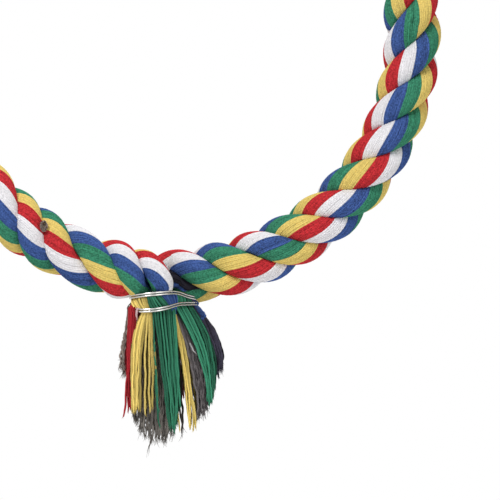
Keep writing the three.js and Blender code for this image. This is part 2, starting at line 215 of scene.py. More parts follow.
# Binding wire. A band has a drop below the ring's middle line, a bow up or down, the angle round the bundle
# where it bows most, and a power that makes the bow sharper.
BINDING_WIRE_DIAMETER = 0.9
BINDING_CLEARANCE = 0.4
BINDING_TURNS_PER_BAND = 2
BINDING_PITCH = 1.12
BINDING_CHANGE = 0.4
BINDING_DROP = 12
UPPER_BAND = (BINDING_DROP, 3, math.radians(-68), 3)
LOWER_BAND = (BINDING_DROP + BINDING_TURNS_PER_BAND * BINDING_PITCH, -3.2, math.radians(-118), 6)
BINDING_STEPS_PER_TURN = 120
BINDING_SIDES = 14
BINDING_END_LENGTH = 2

# Tassel. Its round has a half width and depth at the tips. A yarn runs down the neck between the bands of
# wire, bulges there, and leaves the lower band. Then it hangs, and sways and kinks in full after a share
# of its way down.
TASSEL_HALF_DEPTH = 17.5
TASSEL_HALF_WIDTH = 26.0
TASSEL_X = -0.6
TASSEL_LEAST_CROWN = 0.05
TASSEL_YARN_RADIUS = 0.5
TASSEL_YARN_SPREAD = (0.85, 1.1)
TASSEL_YARN_STEPS = 36
TASSEL_SWAY = 0.3
TASSEL_SWAY_WAVES = (0.7, 1.3, 2.1)
TASSEL_SWAY_FULL = 0.7
YARN_CRIMP = 0.09
CORE_YARN_CRIMP = 0.3
CRIMP_WAVES = (4.5, 7.5)
CRIMP_FULL = 0.4
YARN_TIP_THINNING = 0.35
YARN_TIP_STEPS = 3
NECK_STEPS = 8
NECK_BULGE = 0.8
NECK_RELEASE = 1.0
NECK_OVER_START = 0.3
STRAY_LEAN = 0.6

# Frayed yarn ends. Fibres start FRAY_ROOT inside the yarn. Their sizes are shares of the fray's length or of
# the yarn's radius, and the yarn ends above its named tip by a share of that length.
FRAY_STEPS = 7
FRAY_ROOT = 1.2
FRAY_REACHES = (0.5, 1.2)
FRAY_ASIDE = 0.175
FRAY_CURL = 0.25
FRAY_SPREAD = 0.3
FRAY_RADIUS = 0.3
FRAY_THINNING = 0.75
FRAY_TONES = (0.4, 1)
FRAY_FACING = np.array([0.31, 0.95, 0.0])
FRAY_TIP_RISE = 0.8

# Layers of a tuft: the scatter of the tips in x and z, their rise, the disorder on the bands of wire as a
# share of a yarn's space there, and what is added to the tuft's reach and depth
CORD_LAYER = SimpleNamespace(
    scatter=(0.25, 0.6), rise=0.0, disorder=0.2, reach=(-0.02, 0.02), depth=(-0.04, 0.04)
)
INNER_LAYER = SimpleNamespace(
    scatter=(0.5, 1.0), rise=2.5, disorder=0.6, reach=(-0.1, 0.03), depth=(-0.05, 0.15)
)
# Tones of the inner yarn, low so that it is painted darker: painted shade behind the cords.
INNER_PAINTED_SHADE_TONES = (0, 0.2)


@dataclass
class Tuft:
    """A bunch of loose yarn: cords that show, and inner yarn in their shade, which is also painted darker as
    shade.

    Places on the bands of wire are shares of the way round the rope ends, from the back (0) by the left
    (0.16), the front (0.31) and the right (0.65) to the back again. Pairs of places and leans are the first
    and last yarn's, and pairs of depths and reaches are the cords' and the inner yarn's.
    """
    name: str  # its first word is the kind of yarn, and a solid of this name is replaced
    colour: str
    cords: int
    inner: int
    upper: tuple  # places on the upper band
    lower: tuple  # places on the lower band
    tips: list  # x and z from the ring's middle, in the order of the places
    depth: tuple  # of the tips, as shares of the tassel's half depth, minus to the front
    lean: tuple = (2.0, 2.0)  # a yarn with more lean reaches its tip's side sooner
    reach: tuple = (1.02, 0.9)  # on the bands, as shares of the way out from the bundle's middle
    over: float = 0.0  # added to the reach on the lower band, where the tuft lies over others
    fray: tuple = (4, 1.0)  # number and length of the fibres at each yarn's end
    strays: tuple = ()  # tips of single cords that hang apart
    tones: tuple = (0.3, 0.96)  # of the cords, from dark to light

    @property
    def slot(self):
        return self.name.split("_")[0] + "_yarn"


TUFTS = [
    Tuft("grey_left_tuft", "brown_grey", 9, 20, (0.08, 0.16), (0.09, 0.165),
         [(-21, -161.7), (-22, -160), (-23.2, -156.7), (-22.4, -158.8), (-21.4, -160)],
         (-0.1, 0.4), lean=(1.3, 1.3), reach=(0.9, 0.82), over=0.2, fray=(6, 2.5)),
    Tuft("red_left_tuft", "red_with_painted_shade", 7, 20, (0.15, 0.21), (0.165, 0.245),
         [(-20, -160), (-19.8, -168), (-19.5, -176.5), (-18.6, -177), (-16.8, -173)],
         (-0.6, -0.35), lean=(2, 1.6), reach=(0.88, 0.8), over=0.22, strays=((-21.9, -179.2),)),
    Tuft("yellow_left_tuft", "yellow", 10, 12, (0.145, 0.295), (0.255, 0.312),
         [(-18.2, -177.5), (-16.9, -177.8), (-15.4, -175.2), (-14.2, -177), (-11.6, -177.9),
          (-8.6, -177.5), (-6.2, -172.9)],
         (-1, -0.85), lean=(6, 1.3), reach=(0.95, 0.88), strays=((-7.3, -159.2),)),
    Tuft("green_centre_tuft", "green", 9, 26, (0.29, 0.362), (0.316, 0.468),
         [(-0.6, -184.5), (0.6, -185.5), (1.4, -186.2), (2.2, -185), (2.8, -182.5), (3.4, -179),
          (3.9, -176)],
         (-1.05, -0.85), lean=(1.1, 1.6), reach=(0.97, 0.88), strays=((-4.6, -183), (-5, -176)),
         tones=(0.25, 1)),
    Tuft("blue_front", "blue", 10, 8, (0.352, 0.472), (0.43, 0.476),
         [(1.5, -139), (2.5, -138), (3, -139)],
         (-0.1, 0), lean=(1.2, 1.2), reach=(1, 0.92)),
    Tuft("yellow_right_tuft", "yellow", 4, 8, (0.46, 0.51), (0.475, 0.51),
         [(8.4, -184.5), (9.4, -185.6), (10.6, -185.6), (11.6, -185)],
         (-0.85, -0.72), lean=(1.3, 1.5), reach=(0.75, 0.6), strays=((4.4, -185),)),
    Tuft("white_front", "white", 1, 0, (0.56, 0.58), (0.56, 0.58),
         [(11.4, -150.6)],
         (-0.64, -0.5), lean=(0.7, 0.7), reach=(0.45, 0.4)),
    Tuft("grey_right_tuft", "grey_with_painted_shade", 12, 26, (0.46, 0.58), (0.48, 0.58),
         [(12.6, -180.5), (13.4, -180), (14.6, -177), (15.8, -179.2), (16.6, -175)],
         (-0.7, -0.4), lean=(1.7, 1.7), reach=(0.72, 0.45), fray=(6, 2.5), strays=((5.3, -184),)),
    Tuft("green_right_tuft", "green", 8, 26, (0.472, 0.575), (0.47, 0.61),
         [(17.4, -173), (18.2, -174), (18.8, -173.6), (19.4, -172.5), (20, -170.6), (20.5, -166.2)],
         (-0.92, -0.72), lean=(1.75, 2.7), reach=(0.98, 0.88), tones=(0.25, 1)),
    Tuft("blue_right", "blue", 7, 0, (0.59, 0.68), (0.61, 0.68),
         [(14.6, -132), (15.4, -134), (15.8, -134), (16, -133)],
         (-0.4, -0.3), lean=(1.6, 1.6), reach=(0.97, 0.9), over=0.07, fray=(3, 0.5)),
    Tuft("navy_right_tuft", "navy", 13, 18, (0.575, 0.7), (0.605, 0.7),
         [(21.2, -160.5), (22, -160.1), (22.8, -158.5), (23.2, -159), (23.4, -156.5)],
         (-0.45, 0.1), lean=(2.2, 2.3), reach=(0.95, 0.86), over=0.06, fray=(6, 2)),
    Tuft("white_back_tuft", "white", 8, 14, (0.7, 0.78), (0.7, 0.79),
         [(18, -158), (16.5, -161), (15, -163), (12, -160)],
         (0.85, 0.5)),
    Tuft("blue_back_tuft", "blue", 9, 18, (0.78, 0.87), (0.78, 0.88),
         [(12, -172), (10.5, -170), (9, -174), (7, -171)],
         (1, 0.75)),
    Tuft("red_back_tuft", "red_with_painted_shade", 10, 18, (0.87, 0.96), (0.87, 0.97),
         [(5, -172), (1.5, -175), (-3, -169), (-7, -172)],
         (1, 0.6)),
    Tuft("grey_back_tuft", "grey", 12, 22, (0.96, 1.08), (0.96, 1.09),
         [(-11.5, -185), (-13.1, -186.5), (-15, -183), (-16.9, -184.2), (-18, -180)],
         (0.75, 0.2), fray=(6, 2.5)),
    Tuft("grey_core_tuft", "grey", 30, 50, (0.2, 0.6), (0.2, 0.6),
         [(-14.5, -186), (-13.1, -187.5), (-9.8, -190.4), (-7.3, -190.4), (-6, -189), (-4, -191.2),
          (-2.5, -190.5), (-1.5, -189.6), (1.4, -188.7)],
         (-0.65, 0.2), lean=(1.6, 1.4), reach=(0.72, 0.2), fray=(6, 3),
         strays=((-10, -193.1), (5, -186.5))),
    Tuft("white_left", "pale_pink", 1, 0, (0.24, 0.245), (0.245, 0.25),
         [(-16.2, -136)],
         (-0.9, -0.8), lean=(1.2, 1.2), reach=(0.78, 0.7), over=0.34, fray=(2, 0.6)),
]

# Hanger: the quick link with its thread, the sleeve nut and the hang ring with its weld. A nut's chamfer is
# heights from its end, each with the most that it may reach past half of the width across its flats.
LINK_WIRE_DIAMETER = 5
LINK_INSIDE_WIDTH = 13
LINK_INSIDE_LENGTH = 39
LINK_MOUTH = 6.5
LINK_STUD = 3
LINK_SIDES = 28
LINK_BEND_STEPS = 40
LINK_END_BEVEL = 0.6
THREAD_PITCH = 0.8
THREAD_DEPTH = 0.35
THREAD_STEP = 0.1
THREAD_SPARE = 0.3
UPPER_THREAD_LENGTH = 11.5
NUT_LENGTH = 12
NUT_ACROSS_FLATS = 8.6
NUT_EDGE_ROUNDING = 0.12
NUT_CHAMFER = [(0, -0.1), (0.45, 0.32), (0.9, math.inf)]
NUT_COUNTERSINK = 0.5
NUT_BORE_CLEARANCE = 0.3
NUT_FOOT_SPARE = 0.5
NUT_SIDES = 72
HANG_RING_WIRE_DIAMETER = 4
HANG_RING_INSIDE = 36
HANG_RING_STEPS = 144
HANG_RING_SIDES = 28
HANG_CLEARANCE = 0.3
WELD_TURN = math.pi
WELD_HEIGHT = 0.3
WELD_LENGTH = 1.6
WELD_RIPPLE = 0.3
WELD_RIPPLE_RATE = 9

# Camera: the photograph's square frame and the ring's middle in it, in pixels, and the distance in metres
PHOTO_SIZE = 500
PHOTO_RING_MIDDLE = (171.1, 31.5)
PHOTO_RING_RADIUS = 241.5
CAMERA_DISTANCE = 1.6
SENSOR_WIDTH = 36.0

# Stage, in metres. Lamps have a place from the middle of the view, a width and a power in watts.
FLOOR_DROP = 0.08
FLOOR_SIZE = 1.4
FLOOR_FADE = (0.15, 0.62)
WORLD_STRENGTH = 0.27
LAMPS = {
    "key": ((-0.55, -1.0, 1.1), 0.7, 19),
    "fill": ((0.9, -1.0, 0.2), 0.9, 5),
    "top": ((0.1, 0.3, 1.2), 0.8, 6),
    "back": ((0.35, 1.3, 0.35), 0.9, 11),
}

FRONT = np.array([0.0, -1.0, 0.0])
BACK = np.array([0.0, 1.0, 0.0])
UP = np.array([0.0, 0.0, 1.0])
LEVEL = 1 - UP


# Small helpers

def ease(low, high, value):
    """0 below low, 1 above high, and smooth between them."""
    share = np.clip((value - low) / (high - low), 0, 1)
    return share * share * (3 - 2 * share)


def mix(first, second, share):
    return first + (second - first) * share


def unit(vectors):
    return vectors / np.linalg.norm(vectors, axis=-1, keepdims=True)


def across(vectors, along):
    """The unit part of vectors that is square to the unit vectors along."""
    return unit(vectors - np.sum(vectors * along, axis=-1, keepdims=True) * along)


def turned(first, second, turn):
    """Vectors turned from first towards second by each angle."""
    return first * np.cos(turn)[:, None] + second * np.sin(turn)[:, None]


def held_back(reach, limit, hardness):
    """A reach that stays under its limit, with a rounder corner where the hardness is lower."""
    return reach / (1 + np.maximum(reach / limit, 0) ** hardness) ** (1 / hardness)


def wander(count, steps, waves, source=rng):
    """Smooth seeded curves between about -1 and 1, one row for each of count."""
    way = np.linspace(0, 1, steps)
    total = np.zeros((count, steps))
    for wave in waves:
        phase = source.uniform(0, 2 * math.pi, (count, 1))
        rate = wave * source.uniform(*WANDER_RATES, (count, 1))
        total += np.sin(2 * math.pi * rate * way + phase)
    return total / math.sqrt(len(waves))


# Meshes

@dataclass
class Tube:
    """A round tube. Its facing is a direction across it. Facing and radius may be one for all points."""
    points: np.ndarray
    facing: np.ndarray
    radius: np.ndarray
    tone: float = 0.5


def grid_walls(rings, sides, closed=False):
    """Quads between rings of corners, and from the last ring to the first where they are closed."""
    ring, side = np.meshgrid(np.arange(rings if closed else rings - 1), np.arange(sides), indexing="ij")
    here = ring * sides
    over = (ring + 1) % rings * sides
    beside = (side + 1) % sides
    return np.stack([here + side, here + beside, over + beside, over + side], axis=-1).reshape(-1, 4)


def tube_arrays(tube, sides):
    """Corners, walls, UVs and end caps of one closed tube. UVs go round it, and along it in millimetres."""
    rings = len(tube.points)
    along = unit(np.gradient(tube.points, axis=0))
    first = across(tube.facing, along)
    second = np.cross(along, first)
    turn = 2 * math.pi * np.arange(sides)[:, None] / sides
    spokes = first[:, None] * np.cos(turn) + second[:, None] * np.sin(turn)
    corners = tube.points[:, None] + np.broadcast_to(tube.radius, rings)[:, None, None] * spokes
    steps = np.linalg.norm(np.diff(tube.points, axis=0), axis=1)
    length = np.concatenate([[0], np.cumsum(steps)])
    low_u, low_v = np.meshgrid(np.arange(sides) / sides, length[:-1])
    high_u, high_v = np.meshgrid(np.arange(1, sides + 1) / sides, length[1:])
    uvs = np.stack([low_u, low_v, high_u, low_v, high_u, high_v, low_u, high_v], axis=-1)
    caps = np.array([np.arange(sides)[::-1], (rings - 1) * sides + np.arange(sides)])
    return corners.reshape(-1, 3), grid_walls(rings, sides), uvs.reshape(-1, 2), caps


def add_tubes(name, tubes, sides, slot, material, *nodes):
    """A finished piece of closed tubes on the perch, with a tone for each tube."""
    corners, walls, uvs, caps, tones = [], [], [], [], []
    offset = 0
    for tube in tubes:
        points, quads, quad_uvs, ends = tube_arrays(tube, sides)
        corners.append(points)
        walls.append(quads + offset)
        uvs.append(quad_uvs)
        caps.append(ends + offset)
        tones.append(np.full(len(points), tube.tone))
        offset += len(points)
    all_caps = np.concatenate(caps)
    uvs.append(np.zeros((all_caps.size, 2)))
    faces = [np.concatenate(walls), all_caps]
    piece = mesh_object(name, np.concatenate(corners), faces, np.concatenate(uvs), np.concatenate(tones))
    finish_piece(piece, "perch", slot, material, *nodes)


def mesh_object(name, corners, faces, uvs=None, tones=None):
    """A mesh of smooth quads and flat caps, from corners and an array for each kind of face."""
    mesh = bpy.data.meshes.new(name)
    loops = np.concatenate([block.ravel() for block in faces]).astype(np.int32)
    totals = np.concatenate([np.full(len(block), block.shape[1]) for block in faces]).astype(np.int32)
    starts = np.concatenate([[0], np.cumsum(totals)[:-1]]).astype(np.int32)
    mesh.vertices.add(len(corners))
    mesh.loops.add(len(loops))
    mesh.polygons.add(len(totals))
    mesh.vertices.foreach_set("co", (corners * MM).astype(np.float32).ravel())
    mesh.loops.foreach_set("vertex_index", loops)
    mesh.polygons.foreach_set("loop_start", starts)
    mesh.polygons.foreach_set("loop_total", totals)
    mesh.polygons.foreach_set("use_smooth", totals == 4)
    if uvs is not None:
        layer = mesh.uv_layers.new(name="UVMap")
        layer.data.foreach_set("uv", uvs.astype(np.float32).ravel())
    if tones is not None:
        attribute = mesh.attributes.new("tone", "FLOAT", "POINT")
        attribute.data.foreach_set("value", tones.astype(np.float32))
    mesh.update(calc_edges=True)
    mesh.validate()
    return new_object(name, mesh)


def new_object(name, data):
    thing = bpy.data.objects.new(name, data)
    bpy.context.scene.collection.objects.link(thing)
    return thing


def finish_piece(piece, body, slot, material, *nodes):
    """Gives a piece its material and body, and hides the nodes that it stands for. Its slot is not used."""
    piece.data.materials.append(material)
    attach(piece, body)
    if nodes:
        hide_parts(*nodes)


# Materials

def node_tree(owner):
    owner.use_nodes = True
    return owner.node_tree


def set_inputs(tree, node, inputs):
    """Links each input that is given another node's output, and sets the others."""
    for name, value in inputs.items():
        if isinstance(value, bpy.types.NodeSocket):
            tree.links.new(value, node.inputs[name])
        else:
            node.inputs[name].default_value = value


def add_node(tree, kind, output, inputs=None, **settings):
    """Adds a node and gives the output of that name."""
    node = tree.nodes.new(f"ShaderNode{kind}")
    for name, value in settings.items():
        setattr(node, name, value)
    set_inputs(tree, node, inputs or {})
    return node.outputs[output]


def add_math(tree, operation, first, second=0.0):
    return add_node(tree, "Math", "Value", {0: first, 1: second}, operation=operation)


def add_ramp(tree, value, *stops):
    """A colour between two stops, each a position and a colour."""
    node = tree.nodes.new("ShaderNodeValToRGB")
    for element, (position, colour) in zip(node.color_ramp.elements, stops):
        element.position = position
        element.color = colour
    tree.links.new(value, node.inputs["Fac"])
    return node.outputs["Color"]


def shade(colour, factor):
    return (*(min(channel * factor, 1.0) for channel in colour), 1.0)


def linear(colour):
    """An sRGB colour in 0 to 255 as linear values."""
    shares = [value / 255 for value in colour]
    return [share / 12.92 if share <= 0.04045 else ((share + 0.055) / 1.055) ** 2.4 for share in shares]


def cotton(name, srgb, speckle, tone_share, mottle_share, spread):
    """Soft cotton yarn: fibres along the yarn, two plies round it, mottling, and a tone for each yarn, which
    is random for cords and low, as painted shade, for inner and core yarn.

    Fibres, mottling and tone are mixed by their shares. The colour goes from the dark to the light end of
    its speckle within the spread on each side of the middle.
    """
    material = bpy.data.materials.new(name)
    tree = node_tree(material)
    uv = add_node(tree, "UVMap", "UV", uv_map="UVMap")
    stretched = add_node(tree, "Mapping", "Vector", {"Vector": uv, "Scale": FIBRE_STRETCH})
    fibres = add_node(
        tree, "TexNoise", "Fac", {"Vector": stretched, "Scale": 2.2, "Detail": 4.0, "Roughness": 0.7}
    )
    place = add_node(tree, "TexCoord", "Object")
    mottle = add_node(tree, "TexNoise", "Fac", {"Vector": place, "Scale": MOTTLE_SCALE, "Detail": 2.0})
    tone = add_node(tree, "Attribute", "Fac", attribute_name="tone")
    blend = add_math(tree, "MULTIPLY", fibres, 1 - tone_share - mottle_share)
    blend = add_math(tree, "ADD", blend, add_math(tree, "MULTIPLY", mottle, mottle_share))
    blend = add_math(tree, "ADD", blend, add_math(tree, "MULTIPLY", tone, tone_share))
    colour = linear(srgb)
    dark, light = (shade(colour, factor) for factor in speckle)

    split = {"Vector": uv}
    turns = add_math(tree, "MULTIPLY", add_node(tree, "SeparateXYZ", "X", split), 4 * math.pi)
    climb = add_math(tree, "MULTIPLY", add_node(tree, "SeparateXYZ", "Y", split), 2 * math.pi / PLY_PITCH)
    plies = add_math(tree, "SINE", add_math(tree, "ADD", turns, climb))
    height = add_math(tree, "ADD", add_math(tree, "MULTIPLY", plies, PLY_HEIGHT), fibres)
    relief = {"Height": height, "Strength": 0.7, "Distance": FIBRE_DEPTH}
    set_inputs(tree, tree.nodes["Principled BSDF"], {
        "Base Color": add_ramp(tree, blend, (0.5 - spread, dark), (0.5 + spread, light)),
        "Roughness": 0.95,
        "Specular IOR Level": 0.15,
        "Sheen Weight": 0.18,
        "Sheen Roughness": 0.6,
        "Sheen Tint": shade(colour, 1.6),
        "Normal": add_node(tree, "Bump", "Normal", relief),
    })
    return material


def metal(name, colour, roughness, grain, depth):
    """Plated or drawn metal with a fine grain, per metre, that breaks up its reflections."""
    material = bpy.data.materials.new(name)
    tree = node_tree(material)
    place = add_node(tree, "TexCoord", "Object")
    noise = add_node(tree, "TexNoise", "Fac", {"Vector": place, "Scale": grain, "Detail": 5.0})
    rough = {"Value": noise, "To Min": roughness * 0.7, "To Max": roughness * 1.4}
    relief = {"Height": noise, "Strength": 0.25, "Distance": depth}
    set_inputs(tree, tree.nodes["Principled BSDF"], {
        "Base Color": add_ramp(tree, noise, (0, shade(colour, 0.85)), (1, shade(colour, 1.08))),
        "Metallic": 1.0,
        "Roughness": add_node(tree, "MapRange", "Result", rough),
        "Normal": add_node(tree, "Bump", "Normal", relief),
    })
    return material


LAID_YARN = {
    name: cotton(f"laid_{name}", COLOURS[name], speckle, tone_share=0.1, mottle_share=0.6, spread=0.15)
    for name, speckle in LAID_SPECKLE.items()
}
LOOSE_YARN = {
    name: cotton(
        f"loose_{name}", COLOURS[name], LOOSE_SPECKLE, tone_share=0.6, mottle_share=0.16, spread=0.25
    )
    for name in dict.fromkeys(tuft.colour for tuft in TUFTS)
}
BRIGHT_WIRE = metal("bright_wire", (0.62, 0.61, 0.59), roughness=0.2, grain=900.0, depth=0.00002)
ZINC = metal("zinc_plate", (0.5, 0.52, 0.54), roughness=0.32, grain=420.0, depth=0.00004)
CORE_STEEL = metal("core_steel", (0.45, 0.45, 0.45), roughness=0.5, grain=600.0, depth=0.00004)


# Course of the rope, from the ring's middle. The distance s runs along the rope's middle, from 0 at the
# first strand's first front lobe, and grows clockwise as seen from the front.

END_LAY_RADIUS = (END_STRAND_DIAMETER + END_STRAND_GAP) / (2 * math.sin(math.pi / STRAND_COUNT))
END_RADIUS = END_LAY_RADIUS + END_STRAND_DIAMETER / 2
END_HALF_SPREAD = END_RADIUS + STRAND_GAP / 2
LOBE_LENGTH = LAY_LENGTH / STRAND_COUNT

side_swing = next(joint for joint in frame["joints"] if joint["name"] == "side_swing")
HANG_FOOT_Z = side_swing["pos_m"][2] / MM
ROPE_INSIDE_Z = HANG_FOOT_Z + HANG_RING_WIRE_DIAMETER / 2 + HANG_CLEARANCE
RING_MIDDLE = np.array([0, 0, ROPE_INSIDE_Z - (RING_RADIUS - ROPE_RADIUS)])


def rope_end(side):
    """An end that leaves the ring's circle on a bend that turns it straight down."""
    shift_x, shift_y = YARN_TAIL_SHIFT[side]
    tail_x = END_BUNDLE_X + side * END_HALF_SPREAD * math.cos(END_TURN) + shift_x
    tail_y = side * END_HALF_SPREAD * math.sin(END_TURN) + shift_y
    bend_radius = YARN_BEND_RADIUS[side]
    bend_x = tail_x + side * bend_radius
    bend_z = -math.sqrt((RING_RADIUS + bend_radius) ** 2 - bend_x**2)
    leave_angle = math.atan2(-bend_z, bend_x) - (2 * math.pi if side < 0 else 0)
    bend_length = bend_radius * (leave_angle if side > 0 else -math.pi - leave_angle)
    leave_s = RING_RADIUS * (leave_angle - FIRST_LOBE_ANGLE)
    return SimpleNamespace(
        side=side,
        tail_y=tail_y,
        bend_radius=bend_radius,
        bend_middle=np.array([bend_x, 0, bend_z]),
        bend_length=bend_length,
        leave_angle=leave_angle,
        leave_s=leave_s,
        foot_s=leave_s + side * (bend_length + bend_z + RING_RADIUS + STRAND_FOOT_DROP),
    )


ROPE_END = {side: rope_end(side) for side in (1, -1)}


def by_side(s, pick):
    """A value for the right end or the left end, for each distance along the rope."""
    return np.where(s > 0, pick(1), pick(-1))


def at_end(s, name):
    """A named value of the rope end on the side of each distance along the rope."""
    return by_side(s, lambda side: getattr(ROPE_END[side], name))


def rope_depth(s, past):
    """How far the rope has moved to the front or back."""
    return at_end(s, "tail_y") * ease(-END_SHIFT_LENGTH, at_end(s, "bend_length") / 2, past)


def rope_at(s):
    """The rope's middle, its outward and front directions, and the distance past the ring's circle."""
    side = by_side(s, int)
    bend_length = at_end(s, "bend_length")
    bend_radius = at_end(s, "bend_radius")
    past = (s - at_end(s, "leave_s")) * side
    ring_angle = FIRST_LOBE_ANGLE + s / RING_RADIUS
    bend_angle = at_end(s, "leave_angle") - side * np.clip(past, 0, bend_length) / bend_radius
    angle = np.where(past <= 0, ring_angle, bend_angle)
    outward = np.stack([np.cos(angle), np.zeros_like(angle), -np.sin(angle)], axis=-1)
    on_bend = at_end(s[:, None], "bend_middle") - outward * bend_radius[:, None]
    point = np.where((past <= 0)[:, None], outward * RING_RADIUS, on_bend)
    point[:, 2] -= np.maximum(past - bend_length, 0)
    point[:, 1] = rope_depth(s, past)
    slope = side * (rope_depth(s, past + 1) - rope_depth(s, past - 1)) / 2
    along = unit(np.cross(outward, FRONT) - slope[:, None] * FRONT)
    return point, outward, np.cross(along, outward), past


def stepped(steps, past):
    """The sum of smooth steps, whose amounts are numbers or vectors."""
    return sum(np.multiply.outer(ease(start, stop, past), amount) for amount, start, stop in steps)


def push_at(side, strand, past):
    """How far a strand is moved by the pushes on it and on the whole rope."""
    return stepped(ROPE_PUSH[side] + STRAND_PUSH.get((side, strand), []), past)


def fullness(past):
    """1 where the strands are full and pressed flat, 0 near the rope's ends."""
    return 1 - ease(*FULL_STRAND_END, past)


def strand_at(strand, s):
    """A strand's middle, the direction to it from the rope's middle, its radius, and its outward band."""
    point, outward, front, past = rope_at(s)
    unlaid = np.clip(past, 0, END_UNLAY_LENGTH)
    laid_past = by_side(s, int) * (unlaid - unlaid**2 / (2 * END_UNLAY_LENGTH))
    laid_s = np.where(past <= 0, s, at_end(s, "leave_s") + laid_past)
    lobes = laid_s / LOBE_LENGTH + by_side(s, lambda side: stepped(LAY_DRIFT[side], past))
    facing = turned(outward, front, math.pi / 2 + 2 * math.pi * (lobes - strand) / STRAND_COUNT)
    full = fullness(past)
    narrowing = ease(0, at_end(s, "bend_length"), past)
    distance = mix(ROUND_LAY_RADIUS, FULL_LAY_RADIUS, full)
    distance = mix(distance, YARN_END_LAY_RADIUS, narrowing)
    diameter = mix(ROUND_STRAND_DIAMETER, FULL_STRAND_DIAMETER, full)
    diameter = mix(diameter, YARN_END_STRAND_DIAMETER, narrowing)
    bands = BAND_START[strand] + BAND_RATE[strand] * lobes
    bands += by_side(s, lambda side: stepped(BAND_DRIFT.get((side, strand), []), past))
    point += by_side(s[:, None], lambda side: push_at(side, strand, past))
    return point + facing * distance[:, None], facing, diameter / 2, bands


def pressed(points, middle, along, neighbour, full):
    """Flattens the yarn of a full strand where it lies against its neighbour."""
    gap = neighbour - middle
    normal = across(gap, along)
    limit = np.sum(gap * normal, axis=1) / 2 - YARN_RADIUS
    reach = np.sum((points - middle) * normal, axis=1)
    return points + ((held_back(reach, limit, FLAT_HARDNESS) - reach) * full)[:, None] * normal


def packed(points, s):
    """Flattens the inner side of the bends, and draws the rope's tails in under the binding."""
    middle, outward, _, past = rope_at(s)
    bend_length = at_end(s, "bend_length")
    hold = ease(-BEND_REACH, 0, past) * (1 - ease(bend_length, bend_length + BEND_REACH, past))
    inward = np.sum((points - middle) * outward, axis=1)
    limit = BEND_PACKING * at_end(s, "bend_radius")
    points = points + ((held_back(inward, limit, BEND_HARDNESS) - inward) * hold)[:, None] * outward
    tuck = ease(0, TAIL_TUCK_LENGTH, -RING_RADIUS - TAIL_TUCK_DROP - middle[:, 2])
    return points - (points - middle) * TAIL_TUCK * tuck[:, None]


# Rope strands

def rope_samples():
    """Distances along the rope, closer together near its ends."""
    first, last = ROPE_END[-1].foot_s, ROPE_END[1].foot_s
    near, far = first + END_SAMPLE_LENGTH, last - END_SAMPLE_LENGTH
    between = int((far - near) / LAY_LENGTH * YARN_STEPS_PER_LAY)
    return np.concatenate([
        np.linspace(first, near, END_SAMPLES, endpoint=False),
        np.linspace(near, far, between, endpoint=False),
        np.linspace(far, last, END_SAMPLES),
    ])


def strand_yarns(strand, colour):
    """The yarns of one colour band, laid on the surface of a strand."""
    s = rope_samples()
    middle, facing, radius, outward_band = strand_at(strand, s)
    along = unit(np.gradient(middle, axis=0))
    first = across(facing, along)
    second = np.cross(along, first)
    full = fullness(rope_at(s)[3])
    thickness = YARN_RADIUS * (1 - YARN_END_THINNING * (1 - full))
    neighbours = [
        strand_at((strand + step) % STRAND_COUNT, s + step * NEIGHBOUR_LAG)[0] for step in (1, -1)
    ]
    aside = YARN_ASIDE * wander(YARNS_PER_COLOUR, len(s), YARN_ASIDE_WAVES)
    lift = YARN_LIFT * wander(YARNS_PER_COLOUR, len(s), YARN_LIFT_WAVES)
    yarns = []
    for yarn in range(YARNS_PER_COLOUR):
        band = colour - 0.5 + (yarn + 0.5 + aside[yarn]) / YARNS_PER_COLOUR
        spoke = turned(first, second, 2 * math.pi / len(BAND_ORDER) * (outward_band - band))
        points = middle + spoke * (radius - thickness + lift[yarn])[:, None]
        for neighbour in neighbours:
            points = pressed(points, middle, along, neighbour, full)
        yarns.append(Tube(RING_MIDDLE + packed(points, s), spoke, thickness, rng.uniform(0, 1)))
    return yarns


for strand in range(STRAND_COUNT):
    for colour, colour_name in enumerate(BAND_ORDER):
        add_tubes(
            f"strand_{strand + 1}_{colour_name}", strand_yarns(strand, colour), YARN_SIDES,
            "rope_cotton", LAID_YARN[colour_name], f"rope_strand_{strand + 1}",
        )


# Core yarn, partly painted shade

def core_yarns_with_painted_shade():
    """Dark yarn on one strand, beside the strand that covers it: core yarn, and painted shade in its low
    tones.
    """
    s = ROPE_END[1].leave_s + np.linspace(*CORE_YARN_SPAN, CORE_YARN_STEPS)
    cover = strand_at(CORE_YARN_COVER, s)[0]
    middle, outward, radius, _ = strand_at(CORE_YARN_STRAND, s)
    along = unit(np.gradient(middle, axis=0))
    toward = across(cover - middle, along)
    aside = np.cross(along, toward)
    aside *= np.sign(np.sum(aside * outward, axis=1))[:, None]
    far = np.linspace(*CORE_YARN_FAR_ANGLES, CORE_YARN_STEPS)
    wave = CORE_YARN_WANDER * wander(CORE_YARN_COUNT, CORE_YARN_STEPS, CORE_YARN_WAVES)
    yarns = []
    for yarn in range(CORE_YARN_COUNT):
        share = (yarn + 0.5) / CORE_YARN_COUNT
        spoke = turned(toward, aside, mix(CORE_YARN_NEAR_ANGLE, far, share) + wave[yarn])
        points = packed(middle + spoke * (radius + CORE_YARN_STAND)[:, None], s)
        yarns.append(Tube(RING_MIDDLE + points, spoke, TASSEL_YARN_RADIUS, rng.uniform(*CORE_YARN_PAINTED_SHADE_TONES)))
    return yarns


def knot_loops():
    """Short arcs of yarn in every direction over a small egg shape."""
    loops = []
    for _ in range(KNOT_LOOPS):
        spoke = unit(rng.normal(0, 1, 3))
        heading = across(rng.normal(0, 1, 3), spoke)
        facing = turned(spoke, heading, np.linspace(0, rng.uniform(*KNOT_ARCS), KNOT_LOOP_STEPS))
        points = RING_MIDDLE + KNOT_MIDDLE + facing * KNOT_RADII * rng.uniform(*KNOT_REACHES)
        radius = KNOT_YARN_RADIUS * rng.uniform(*KNOT_YARN_SPREAD)
        loops.append(Tube(points, facing, radius, rng.uniform(0, 1)))
    return loops


